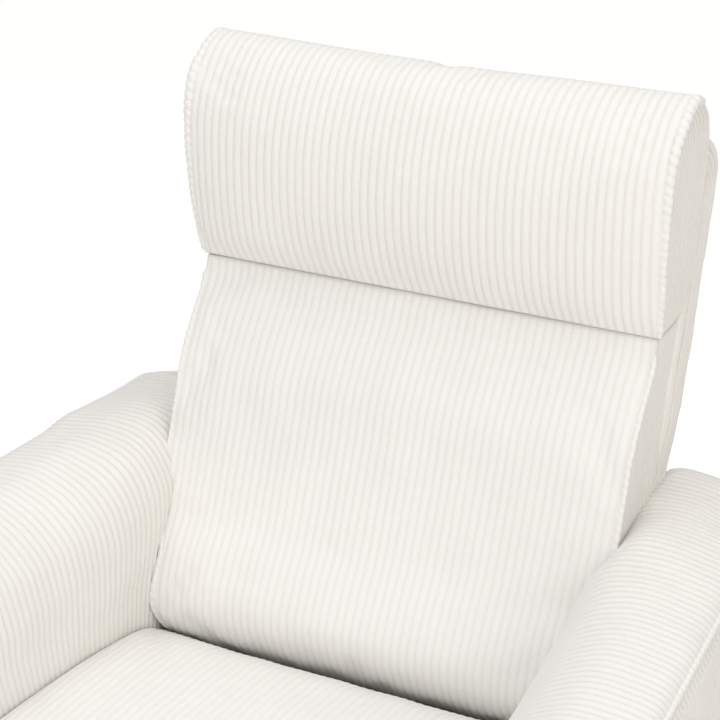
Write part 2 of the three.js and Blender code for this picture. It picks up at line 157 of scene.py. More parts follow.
backdrop = Wire(world.node_tree, None)
height = backdrop.out("ShaderNodeSeparateXYZ", "Z", Vector=backdrop.out("ShaderNodeTexCoord", "Generated"))
dome = backdrop.out("ShaderNodeValToRGB", "Color", {"ramp": [
    (0.22, (0.03, 0.03, 0.03, 1)), (0.42, (0.735, 0.735, 0.735, 1))]}, Fac=height)
seen = backdrop.out("ShaderNodeLightPath", "Is Camera Ray")
surround = backdrop.between(seen, dome, (1, 1, 1, 1))
world.node_tree.links.new(surround.socket, world.node_tree.nodes["Background"].inputs["Color"])

floor_paint, floor_shader, paint = new_material("pale_floor", Roughness=0.9, Emission_Strength=0.36)
floor_shader.inputs["Base Color"].default_value = (0.93, 0.91, 0.88, 1)
seen_floor = paint.out("ShaderNodeLightPath", "Is Camera Ray")
feed(floor_shader, "Emission Color", paint.between(seen_floor, (0, 0, 0, 1), (1, 1, 1, 1)))
floor_mesh.materials.append(floor_paint)

# ---------------------------------------------------------------- corduroy cloth
# Cream wide-rib corduroy: cut pile in ribs about 9 mm apart with narrow grooves between them.
# The ribs are real relief; the pile's fuzz and its brushed patches are shader noise, and the grooves
# are painted darker and warmer than the crests as painted shade.
rib_pitch = 0.00915
rib_height = 0.0016

corduroy, cloth_shader, cloth = new_material(
    "cream_corduroy", Roughness=0.92, Sheen_Weight=0.25, Sheen_Roughness=0.5, Specular_IOR_Level=0.2)
place_on_cloth = cloth.out("ShaderNodeTexCoord", "Object")
groove = cloth.out("ShaderNodeAttribute", "Fac", {"attribute_name": "groove"})
fuzz = cloth.out("ShaderNodeTexNoise", "Fac", Vector=place_on_cloth, Scale=900.0, Detail=3.0, Roughness=0.6)
tufts = cloth.out("ShaderNodeTexNoise", "Fac", Vector=place_on_cloth, Scale=260.0, Detail=2.0, Roughness=0.5)
brushed = cloth.out("ShaderNodeTexNoise", "Fac", Vector=place_on_cloth, Scale=14.0, Detail=2.0, Roughness=0.5)
# Painted shade: the crest colour is the pile's own, and the groove attribute mixes in a darker, warmer colour
# towards each groove. Beside seams where a padded form's ribs fade out, and over gussets without ribs, the
# attribute is full, so these carry the same painted shade.
pile_colour_and_groove_shade = cloth.between(groove * 0.42, (0.852, 0.846, 0.825, 1), (0.70, 0.63, 0.53, 1))
shade = 0.93 + fuzz * 0.07 + tufts * 0.04 + brushed * 0.05
toned = cloth.out("ShaderNodeVectorMath", "Vector", {"operation": "SCALE"}, s0=pile_colour_and_groove_shade, Scale=shade)
feed(cloth_shader, "Base Color", toned)
feed(cloth_shader, "Normal", cloth.out(
    "ShaderNodeBump", "Normal", Strength=0.55, Distance=0.0006, Height=fuzz * 0.7 + tufts * 0.6))


def rib_stops(length, start=0.0):
    """Places across a run of ribs, six to a rib, and each place's relief from 0 in a groove to 1
    on a crest: a rib rises nearly as half a sine wave, a little fuller."""
    within = np.array([0.0, 0.08, 0.22, 0.5, 0.78, 0.92])
    count = int(np.ceil(length / rib_pitch)) + 2
    first = -np.ceil(start / rib_pitch)
    stops = ((np.arange(count)[:, None] + first + within[None, :]) * rib_pitch).ravel() + start
    relief = np.tile(np.sin(np.pi * within) ** 0.85, count)
    keep = (stops > 1e-6) & (stops < length - 1e-6)
    stops = np.concatenate([[0.0], stops[keep], [length]])
    relief = np.concatenate([[0.0], relief[keep], [0.0]])
    return stops, relief


def curve(points, count):
    """Evenly spaced places along a smooth curve through points: Catmull-Rom spans, then equal arcs."""
    points = np.asarray(points, float)
    ends = np.vstack([2 * points[0] - points[1], points, 2 * points[-1] - points[-2]])
    t = np.linspace(0, 1, 24, endpoint=False)[:, None]
    spans = []
    for a, b, c, d in zip(ends[:-3], ends[1:-2], ends[2:-1], ends[3:]):
        spans.append(0.5 * (2 * b + (c - a) * t + (2 * a - 5 * b + 4 * c - d) * t ** 2
                            + (3 * b - a - 3 * c + d) * t ** 3))
    dense = np.vstack(spans + [points[-1:]])
    arc = np.concatenate([[0], np.cumsum(np.linalg.norm(np.diff(dense, axis=0), axis=1))])
    even = np.linspace(0, arc[-1], count)
    return np.column_stack([np.interp(even, arc, dense[:, k]) for k in range(dense.shape[1])])


def along(path, v):
    """Places on an evenly spaced path at fractions v of its length."""
    steps = np.linspace(0, 1, len(path))
    return np.stack([np.interp(v, steps, path[:, k]) for k in range(path.shape[1])], axis=-1)


def ripple(places, wavelength, seed):
    """Smooth unevenness between about -1 and 1: six plane waves with seeded directions and phases."""
    draw = np.random.default_rng(seed)
    total = np.zeros(places.shape[:-1])
    for _ in range(6):
        way = draw.normal(size=3)
        way *= 2 * np.pi / (wavelength * draw.uniform(0.7, 1.5) * np.linalg.norm(way))
        total += np.sin(places @ way + draw.uniform(0, 2 * np.pi))
    return total / 3.0


def sample(field, u, v):
    """Reads a coarse grid of vectors at fractions (u, v) with Catmull-Rom weights both ways."""
    rows, columns = field.shape[:2]

    def taps(fraction, size):
        at = np.clip(fraction, 0, 1) * (size - 1)
        low = np.minimum(at.astype(int), size - 2)
        t = at - low
        weights = [(-t + 2 * t ** 2 - t ** 3) / 2, (2 - 5 * t ** 2 + 3 * t ** 3) / 2,
                   (t + 4 * t ** 2 - 3 * t ** 3) / 2, (t ** 3 - t ** 2) / 2]
        return [(np.clip(low + k - 1, 0, size - 1), weights[k]) for k in range(4)]

    total = 0
    for row, wr in taps(v, rows):
        for column, wc in taps(u, columns):
            total = total + (wr * wc)[..., None] * field[row, column]
    return total


def grid_faces(rows, columns, first):
    """The quads of a grid of vertices numbered row by row from first."""
    corner = first + (np.arange(rows - 1)[:, None] * columns + np.arange(columns - 1)[None, :]).ravel()
    return np.column_stack([corner, corner + 1, corner + columns + 1, corner + columns])


def grid_normals(grid):
    """Unit normals of a grid surface from the cross product of its two gradients."""
    across = np.gradient(grid, axis=1)
    down = np.gradient(grid, axis=0)
    normal = np.cross(across, down)
    return normal / np.maximum(np.linalg.norm(normal, axis=-1, keepdims=True), 1e-9)


def closed_mesh(name, grids, reliefs):
    """One closed mesh from grids whose edges meet: welded, open loops filled, faces turned out.
    Each vertex keeps how deep in a groove it lies."""
    counts = np.cumsum([0] + [g.shape[0] * g.shape[1] for g in grids])
    places = np.concatenate([g.reshape(-1, 3) for g in grids])
    faces = np.concatenate([grid_faces(g.shape[0], g.shape[1], first) for g, first in zip(grids, counts)])
    mesh = bpy.data.meshes.new(name)
    mesh.from_pydata(places.tolist(), [], faces.tolist())
    depth = mesh.attributes.new("groove", "FLOAT", "POINT")
    depth.data.foreach_set("value", (1 - np.concatenate([r.ravel() for r in reliefs])).astype(np.float32))
    shell = bmesh.new()
    shell.from_mesh(mesh)
    bmesh.ops.remove_doubles(shell, verts=shell.verts, dist=2e-5)
    loose = [v for v in shell.verts if not v.link_faces]
    bmesh.ops.delete(shell, geom=loose, context="VERTS")
    bmesh.ops.holes_fill(shell, edges=[e for e in shell.edges if e.is_boundary], sides=0)
    bmesh.ops.recalc_face_normals(shell, faces=shell.faces)
    shell.to_mesh(mesh)
    shell.free()
    mesh.polygons.foreach_set("use_smooth", [True] * len(mesh.polygons))
    return mesh


def add_piece(name, mesh, body, material):
    """Puts a finished mesh in the scene as a piece that rides on a body."""
    piece = bpy.data.objects.new(name, mesh)
    bpy.context.scene.collection.objects.link(piece)
    mesh.materials.append(material)
    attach(piece, body)
    return piece


def inflate(name, grids, pinned, pressure, looseness, limit):
    """Blows coarse grids up as one sewn cloth cover and returns how far each vertex moved: pressure
    from inside, pinned where it is sewn or rests on the frame, and no move longer than the limit."""
    counts = np.cumsum([0] + [g.shape[0] * g.shape[1] for g in grids])
    places = np.concatenate([g.reshape(-1, 3) for g in grids])
    faces = np.concatenate([grid_faces(g.shape[0], g.shape[1], first) for g, first in zip(grids, counts)])
    _, keep, merged = np.unique(np.round(places, 5), axis=0, return_index=True, return_inverse=True)
    merged = merged.ravel()
    mesh = bpy.data.meshes.new(name + "_cover")
    corners = [list(dict.fromkeys(face)) for face in merged[faces].tolist()]
    mesh.from_pydata(places[keep].tolist(), [], [face for face in corners if len(face) > 2])
    shell = bmesh.new()
    shell.from_mesh(mesh)
    bmesh.ops.holes_fill(shell, edges=[e for e in shell.edges if e.is_boundary], sides=0)
    bmesh.ops.recalc_face_normals(shell, faces=shell.faces)
    shell.to_mesh(mesh)
    shell.free()
    cover = bpy.data.objects.new(name + "_cover", mesh)
    bpy.context.scene.collection.objects.link(cover)
    hold = np.zeros(len(keep))
    np.maximum.at(hold, merged, np.concatenate([p.ravel() for p in pinned]))
    sewn = cover.vertex_groups.new(name="sewn")
    for index in np.nonzero(hold > 0)[0].tolist():
        sewn.add([index], float(hold[index]), "REPLACE")
    cloth_sim = cover.modifiers.new("Cloth", "CLOTH")
    settings = cloth_sim.settings
    settings.quality = 6
    settings.mass = 0.3
    settings.tension_stiffness = settings.compression_stiffness = 20
    settings.shear_stiffness = 8
    settings.bending_stiffness = 1.5
    settings.use_pressure = True
    settings.uniform_pressure_force = pressure
    settings.shrink_min = -looseness
    settings.vertex_group_mass = "sewn"
    settings.effector_weights.gravity = 0
    cloth_sim.point_cache.frame_start = 1
    cloth_sim.point_cache.frame_end = 20
    for step in range(1, 21):
        bpy.context.scene.frame_set(step)
    blown = cover.evaluated_get(bpy.context.evaluated_depsgraph_get()).to_mesh()
    ended = np.empty(len(keep) * 3)
    blown.vertices.foreach_get("co", ended)
    moved = ended.reshape(-1, 3) - places[keep]
    bpy.context.scene.frame_set(1)
    bpy.data.objects.remove(cover)
    length = np.linalg.norm(moved, axis=1, keepdims=True)
    moved *= np.minimum(1, limit / np.maximum(length, 1e-9))
    print(f"{name}: moved up to {length.max() * 1000:.1f} mm")
    return [moved[merged[a:b]].reshape(g.shape) for g, a, b in zip(grids, counts[:-1], counts[1:])]


def smooth(step):
    """0 below 0, 1 above 1, and 3 t^2 - 2 t^3 between."""
    step = np.clip(step, 0, 1)
    return step ** 2 * (3 - 2 * step)


def raised(grids, lifts, fades, wave, seed):
    """Moves each grid outwards by its ribs' relief and a slight unevenness, fading to none at the seams
    so that neighbouring panels still meet. Gives back the grids and the relief."""
    inside = np.concatenate([g.reshape(-1, 3) for g in grids[:2]]).mean(axis=0)
    finished = []
    for grid, lift, fade in zip(grids, lifts, fades):
        normal = grid_normals(grid)
        outward = np.sign(np.sum(normal * (grid - inside)))
        fade = fade.copy()
        fade[0, :] = fade[-1, :] = 0
        fade[:, 0] = fade[:, -1] = 0
        uneven = ripple(grid, 0.06, seed) * wave
        finished.append(grid + normal * (outward * fade * (lift * rib_height + uneven))[..., None])
    return finished, lifts


def bolster(name, front, rear, front_half, rear_half, body, replaced, rows=64, side_ribs=True,
            pressure=2.0, looseness=0.01, limit=0.012, loose_rear=False, wave=0.0006, seed=1,
            middle=None, face_groove_scale=1.0):
    """A padded form between two side-view paths, front and rear, carried across the chair. Each path
    has its own half width, one number or one for each of its points, and a gusset joins them at
    each side. Ribs follow the paths; on the gussets they keep their distance from the rear. Where
    a middle path is given, the front swells to it from its ends as the root of 1 - s to the 6th.
    The two faces' grooves are scaled in depth by the last argument, in relief and in how dark their
    painted shade is, and deeper on the gussets."""
    front, rear = np.asarray(front), np.asarray(rear)
    middle = front if middle is None else np.asarray(middle)
    steps = np.linspace(0, 1, len(front))
    front_half = np.broadcast_to(front_half, len(front))
    rear_half = np.broadcast_to(rear_half, len(rear))
    width = 2 * max(front_half.max(), rear_half.max())

    def panel(path, half, crown):
        def surface(u, v):
            swell = np.sqrt(np.clip(1 - np.abs(2 * u - 1) ** 6, 0, 1))[..., None]
            at = along(path, v) * (1 - swell) + along(crown, v) * swell
            return np.stack([(2 * u - 1) * np.interp(v, steps, half), at[..., 0], at[..., 1]], axis=-1)
        return surface

    def gusset(sign):
        def surface(u, v):
            at = along(front, v) * (1 - u)[..., None] + along(rear, v) * u[..., None]
            x = np.interp(v, steps, front_half) * (1 - u) + np.interp(v, steps, rear_half) * u
            return np.stack([sign * x, at[..., 0], at[..., 1]], axis=-1)
        return surface

    faces = [(panel(front, front_half, middle), front_half), (panel(rear, rear_half, rear), rear_half)]
    gussets = [gusset(1), gusset(-1)]
    depth = np.linalg.norm(front - rear, axis=1)

    U, V = np.meshgrid(np.linspace(0, 1, 33), np.linspace(0, 1, 27))
    US, VS = np.meshgrid(np.linspace(0, 1, 7), np.linspace(0, 1, 27))
    coarse = [surface(U, V) for surface, _ in faces] + [surface(US, VS) for surface in gussets]
    sewn = ((U == 0) | (U == 1) | (V == 0) | ((V == 1) & (not loose_rear))).astype(float)
    pins = [sewn, sewn if loose_rear else np.ones_like(sewn), np.ones_like(US), np.ones_like(US)]
    moves = inflate(name, coarse, pins, pressure, looseness, limit)

    fine_v = np.linspace(0, 1, rows)
    stops, relief = rib_stops(width, width / 2 % rib_pitch)
    X, V = np.meshgrid(stops - width / 2, fine_v)
    grids, lifts, fades = [], [], []
    # Scales the faces' groove depth, and with it how dark their painted shade is.
    relief = 1 - (1 - relief) * face_groove_scale
    for (surface, half), moved in zip(faces, moves):
        H = np.interp(V, steps, half)
        U = (np.clip(X / H, -1, 1) + 1) / 2
        fade = np.clip((H - np.abs(X)) / 0.003, 0, 1)
        grids.append(surface(U, V) + sample(moved, U, V))
        lifts.append(relief[None, :] * fade)
        fades.append(fade)
    if side_ribs:
        stops, relief = rib_stops(float(depth.max()))
        # Ribbed gussets get grooves 1.8 times as deep, in relief and painted darker: painted shade.
        relief = 1 - (1 - relief) * 1.8
    else:
        stops, relief = np.linspace(0, float(depth.max()), 9), np.zeros(9)
    S, V = np.meshgrid(stops, fine_v)
    D = np.maximum(np.interp(V, steps, depth), 1e-7)
    reach = np.minimum(S, D)
    fade = np.clip(np.minimum(D - reach, reach) / 0.003, 0, 1)
    for surface, moved in zip(gussets, moves[2:]):
        grids.append(surface(1 - reach / D, V) + sample(moved, 1 - reach / D, V))
        lifts.append(relief[None, :] * fade)
        fades.append(fade)
    mesh = closed_mesh(name, *raised(grids, lifts, fades, wave, seed))
    piece = add_piece(name, mesh, body, corduroy)
    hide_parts(*replaced)
    return piece


def welt(name, path, radius, body, flatten=1.0):
    """Piping along a seam: a round tube whose radius swells once per rib, with the swellings slanted
    as the cloth's ribs cross the cord. The radius runs evenly from its first value to its second,
    flatten squeezes it sideways, and its ends are drawn to points inside the seam."""
    path = np.asarray(path, float)
    length = float(np.sum(np.linalg.norm(np.diff(path, axis=0), axis=1)))
    steps = int(length / rib_pitch * 7)
    line = along(curve(path, 400), np.linspace(0, 1, steps))
    ahead = np.gradient(line, axis=0)
    ahead /= np.linalg.norm(ahead, axis=1, keepdims=True)
    side = np.cross(ahead, (1.0, 0.0, 0.0))
    side /= np.maximum(np.linalg.norm(side, axis=1, keepdims=True), 1e-9)
    up = np.cross(side, ahead)
    turn = np.linspace(0, 2 * np.pi, 13)
    run = np.linspace(0, length, steps)[:, None]
    bead = np.abs(np.sin(np.pi * run / rib_pitch + 0.5 * np.sin(turn)[None, :]))
    uneven = 1 + 0.1 * ripple(line, 0.05, 5)[:, None]
    swell = np.interp(run, [0, length], radius) * (0.74 + 0.3 * np.sqrt(bead)) * uneven
    taper = np.clip(np.minimum(run, length - run) / (2 * radius[0]), 0, 1) ** 0.5
    swell = swell * taper
    sideways = np.cos(turn)[None, :, None] * side[:, None, :] * flatten
    upwards = np.sin(turn)[None, :, None] * up[:, None, :]
    ring = line[:, None, :] + swell[..., None] * (sideways + upwards)
    # The hollows between the beads are painted darker through the groove attribute: painted shade.
    relief = 0.35 + 0.65 * np.sqrt(bead)
    return add_piece(name, closed_mesh(name, [ring], [relief]), body, corduroy)


def world_path(points, x):
    """Side-view points (y, z), measured from the headrest's seam line, placed across the chair at x."""
    points = np.asarray(points, float)
    return np.column_stack([np.full(len(points), x), points[:, 0] + seam.y, points[:, 1] + seam.z])


# ---------------------------------------------------------------- headrest
# A foam roll under one corduroy panel that runs up the front, over the top and down behind, with a
# flat gusset at each end. Rope-like piping covers the gusset seams. It is sewn to the back.
head_front = curve([(0.000, 0.000), (-0.0065, 0.030), (-0.0137, 0.075), (-0.0163, 0.125),
                    (-0.0160, 0.157), (-0.0105, 0.185), (0.0005, 0.2035), (0.0180, 0.2180),
                    (0.0330, 0.2265), (0.050, 0.231)], 160)
head_middle = curve([(0.000, 0.000), (-0.019, 0.026), (-0.026, 0.068), (-0.028, 0.102), (-0.026, 0.137),
                     (-0.021, 0.165), (-0.009, 0.192), (0.008, 0.212), (0.028, 0.2255), (0.050, 0.231)], 160)
head_rear = curve([(0.074, 0.004), (0.084, 0.060), (0.090, 0.130), (0.093, 0.170), (0.091, 0.192),
                   (0.081, 0.2095), (0.068, 0.2225), (0.050, 0.231)], 160)
shift = np.array([seam.y, seam.z])
head_half = head_high.x
head_end = head_half + np.interp(head_front[:, 1], [0.0, 0.05, 0.21, 0.231], [-0.001, 0.003, 0.006, 0.004])
bolster("headrest_roll", head_front + shift, head_rear + shift, head_end, head_end, "back", ["headrest"],
        rows=72, pressure=3.0, looseness=0.001, limit=0.006, loose_rear=True, seed=3,
        middle=head_middle + shift, face_groove_scale=0.85)
over_top = 14
head_seam = np.vstack([head_front, head_rear[::-1][1:over_top]])[::4]
head_edge = np.concatenate([head_end, head_end[::-1][1:over_top]])[::4]
under_edge = (1, 0.985)
for label, sign in (("right", 1), ("left", -1)):
    edge_line = world_path(head_seam * under_edge, 0)
    edge_line[:, 0] = sign * head_edge
    welt(f"headrest_welt_{label}", edge_line, (0.0040, 0.0062), "back", 0.9)

# ---------------------------------------------------------------- back
# A thick foam cushion in a boxed cover: a slack front panel, flat gussets, and a separate padded
# cover stretched over the rear of the wooden frame. The front seams are beaded where ribs cross.
lean = np.tan(np.radians(16.4))


def rear_line(height, depth=0.0):
    """The place, from the headrest's seam line, that lies a depth in front of the leaning rear face."""
    return 0.141 - lean * (0.143 - height) - depth, height


arm_low, arm_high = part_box("arm_right")
arm_flare = 0.0717


def arm_flared(y):
    """How far an arm has spread sideways at a distance ahead of the back: in proportion to it."""
    return arm_flare * np.maximum(0, seam.y - 0.145 - y)


def beside_back(y):
    """1 where an arm runs beside the back, 0 ahead of it, and a smooth step 50 mm long between."""
    return 1 - smooth((seam.y - 0.095 - y) / 0.050)


def arm_inner(y):
    """Distance of an arm's inner face from the middle: beside the back it stands 20 mm further out."""
    return arm_low.x + 0.020 * beside_back(y) + arm_flared(y)


def arm_outer(y):
    """Distance of an arm's outer face from the middle."""
    return arm_low.x + 0.152 + arm_flared(y)


frame_depth = 0.037
back_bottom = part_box("back_cushion")[0].z - seam.z
arm_gap = 0.003
back_front = curve([(-0.128, back_bottom), (-0.147, -0.373), (-0.157, -0.354), (-0.161, -0.337),
                    (-0.155, -0.316), (-0.136, -0.279), (-0.115, -0.247), (-0.091, -0.190),
                    (-0.073, -0.143), (-0.058, -0.101), (-0.035, -0.065), (-0.010, -0.031),
                    (0.000, -0.002)], 160)
back_rear = curve([rear_line(back_bottom, frame_depth), rear_line(-0.2, frame_depth),
                   rear_line(-0.002, frame_depth)], 160)
back_half = head_half - 0.003
arm_shelf = arm_high.z - seam.z
beside_arm = np.minimum(back_half, arm_inner(back_front[:, 0] + seam.y) - arm_gap)
corner_drop = 0.018 * np.clip(1 - (back_front[:, 1] - back_bottom) / 0.055, 0, 1) ** 2
front_half = np.where(back_front[:, 1] < arm_shelf, beside_arm, back_half) - corner_drop
bolster("back_pillow", back_front + shift, back_rear + shift, front_half, back_half, "back", ["back_cushion"],
        rows=96, pressure=2.0, looseness=0.003, limit=0.006, seed=4, face_groove_scale=0.65)
for label, sign in (("right", 1), ("left", -1)):
    edge_line = world_path(back_front, 0)
    edge_line[:, 0] = sign * front_half
    welt(f"back_seam_{label}", edge_line[6:158:4], (0.0032, 0.0032), "back", 0.8)

shell_front = curve([rear_line(back_bottom, frame_depth), rear_line(-0.1, frame_depth),
                     rear_line(0.12, frame_depth), (0.098, 0.150), (0.099, 0.1755)], 120)
shell_rear = curve([rear_line(back_bottom), rear_line(-0.1), rear_line(0.110), (0.136, 0.136), (0.130, 0.153),
                    (0.116, 0.168), (0.099, 0.1755)], 120)
shell_half = back_half + np.interp(shell_rear[:, 1], [-0.16, -0.10, 0.15, 0.1755], [0, 0.006, 0.006, 0.002])
bolster("back_rear_cover", shell_front + shift, shell_rear + shift, shell_half, shell_half, "back",
        ["back_cover"], rows=60, pressure=1.0, looseness=0.004, limit=0.006, loose_rear=True,
        seed=5)

skirt_low, skirt_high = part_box("back_skirt")
skirt_top, skirt_bottom = skirt_high.z - seam.z - 0.001, skirt_low.z - seam.z
skirt_front = curve([rear_line(skirt_bottom, 0.010), rear_line(skirt_top, 0.010)], 40)
skirt_rear = curve([rear_line(skirt_bottom), rear_line(skirt_top)], 40)
bolster("back_lower_flap", skirt_front + shift, skirt_rear + shift, skirt_high.x, skirt_high.x, "back",
        ["back_skirt"], rows=16, side_ribs=False, pressure=0.3, looseness=0.0, limit=0.002,
        wave=0.0002, seed=6)

# ---------------------------------------------------------------- seat
# A crowned foam cushion between the arms with its ribs running front to back, sewn down over the
# front edge, and a narrow padded border that closes the gap above the footrest.
seat_low, seat_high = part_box("seat_cushion")
seat_base = seat_low.z
seat_length = seat_high.y - seat_low.y
seat_top = curve([(seat_high.y, seat_base), (seat_high.y, seat_base + 0.056),
                  (seat_high.y - 0.010, seat_base + 0.068), (seat_high.y - 0.040, seat_base + 0.081),
                  (seat_high.y - 0.13, seat_base + 0.092),
                  (seat_high.y - seat_length / 2, seat_base + 0.096), (seat_low.y + 0.12, seat_base + 0.091),
                  (seat_low.y + 0.045, seat_base + 0.077), (seat_low.y + 0.010, seat_base + 0.054),
                  (seat_low.y + 0.002, seat_base + 0.032), (seat_low.y + 0.006, seat_base)], 220)
seat_under = curve([(seat_high.y, seat_base), (seat_low.y + 0.006, seat_base)], 220)
seat_half = arm_inner(seat_top[:, 0]) - arm_gap
under_half = arm_inner(seat_under[:, 0]) - arm_gap
bolster("seat_pad", seat_top, seat_under, seat_half, under_half, "chassis", ["seat_cushion"],
        side_ribs=False, rows=110, pressure=2.0, looseness=0.003, limit=0.006, seed=7, face_groove_scale=0.55)

border_low, border_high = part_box("seat_border")
border_front = curve([(border_high.y, border_low.z), (border_low.y + 0.004, border_low.z + 0.002),
                      (border_low.y + 0.001, border_low.z + 0.010),
                      (border_low.y + 0.001, border_high.z - 0.006),
                      (border_low.y + 0.004, border_high.z), (border_high.y, border_high.z)], 60)
border_rear = curve([(border_high.y, border_low.z), (border_high.y, border_high.z)], 60)
border_half = border_high.x - 0.001
bolster("seat_front_border", border_front, border_rear, border_half, border_half, "chassis",
        ["seat_border"], side_ribs=False, rows=24, pressure=0.5, looseness=0.002, limit=0.003,
        seed=10)

# ---------------------------------------------------------------- arms
# A padded arm is one panel up its inner face and over the crown, seamed along the outer shoulder to
# a flat outer panel. Foam lies over a box frame, and the ribs run across the arm and down its sides.
arm_front, arm_rear = arm_low.y, arm_high.y
arm_width = 0.152
front_corner, rear_corner = 0.060, 0.095
cover_gap = 0.001                                       # kept inside each side of the arm
even_height, even_run = 0.57, 0.22                      # below here the ribs are even along the arm
fill_from, fill_run = 0.36, 0.26                        # the crown fills out towards the back
drop_height, drop_rise = 0.28, 0.30                     # the rounded ends' drop fades out downwards
rear_drop, outer_from, outer_run = 0.010, 0.060, 0.080  # the outer shoulder is lower at the rear
overhang, overhang_width = 0.0165, 0.070                # the inner edge leans over the gap at the back
overhang_height, overhang_rise = 0.47, 0.06
held_below, seam_fade = 0.50, 0.12                      # where the simulated moves are held back
crown_groove_depth, rear_groove_deepening, rear_groove_run = 0.85, 0.5, 0.30    # grooves are cut deeper and painted darker towards the rear: painted shade
crown_ahead = curve([(0.0, arm_low.z), (0.0, 0.300), (0.0, 0.515), (0.0012, 0.545), (0.0044, 0.573),
                     (0.009, 0.585), (0.018, 0.597), (0.035, 0.611), (0.053, 0.619), (0.070, 0.624),
                     (0.088, 0.626), (0.106, 0.626), (0.124, 0.6245), (0.138, 0.620), (0.146, 0.612)], 240)
crown_rear = curve([(0.0, arm_low.z), (0.0, 0.300), (0.0, 0.575), (0.0, 0.606), (0.0015, 0.618),
                    (0.006, 0.6255), (0.014, 0.6280), (0.024, 0.6275), (0.036, 0.6260), (0.053, 0.6235),
                    (0.070, 0.621), (0.088, 0.619), (0.106, 0.618), (0.124, 0.617), (0.138, 0.6155),
                    (0.146, 0.612)], 240)
crown_beside = curve([(0.0, arm_low.z), (0.0, 0.300), (0.0, 0.555), (0.001, 0.583), (0.005, 0.603),
                      (0.012, 0.618), (0.022, 0.628), (0.035, 0.6325), (0.053, 0.6325), (0.070, 0.631),
                      (0.088, 0.629), (0.106, 0.6265), (0.124, 0.6245), (0.138, 0.620), (0.146, 0.612)], 240)
outer_section = curve([(0.146, 0.612), (0.150, 0.598), (arm_width, 0.575), (arm_width, 0.300),
                       (arm_width, arm_low.z)], 120)


def shoulder(y):
    """How far the crown drops at the rounded front and rear ends of an arm: a quarter circle each."""
    drop = np.zeros_like(y)
    past_front = arm_front + front_corner - y
    past_rear = y - (arm_rear - rear_corner)
    for corner, past in ((front_corner, past_front), (rear_corner, past_rear)):
        past = np.clip(past, 0, corner)
        drop += corner - np.sqrt(corner ** 2 - past ** 2)
    return drop


def rear_share(y):
    """How far an arm's cross-section has turned into its rear one: a smooth step beside the back."""
    return smooth((y - seam.y + 0.10) / 0.14)


def crown_line():
    """Side-view outline of an arm's crown from front to rear at even arc lengths, ends not vertical."""
    turn = np.radians(np.linspace(78, 0, 10))
    ahead, down = 1 - np.sin(turn), np.cos(turn) - 1
    front_end = np.column_stack([arm_front + front_corner * ahead, front_corner * down])
    rear_end = np.column_stack([arm_rear - rear_corner * ahead, rear_corner * down])[::-1]
    return curve(np.vstack([front_end, rear_end]), 800)


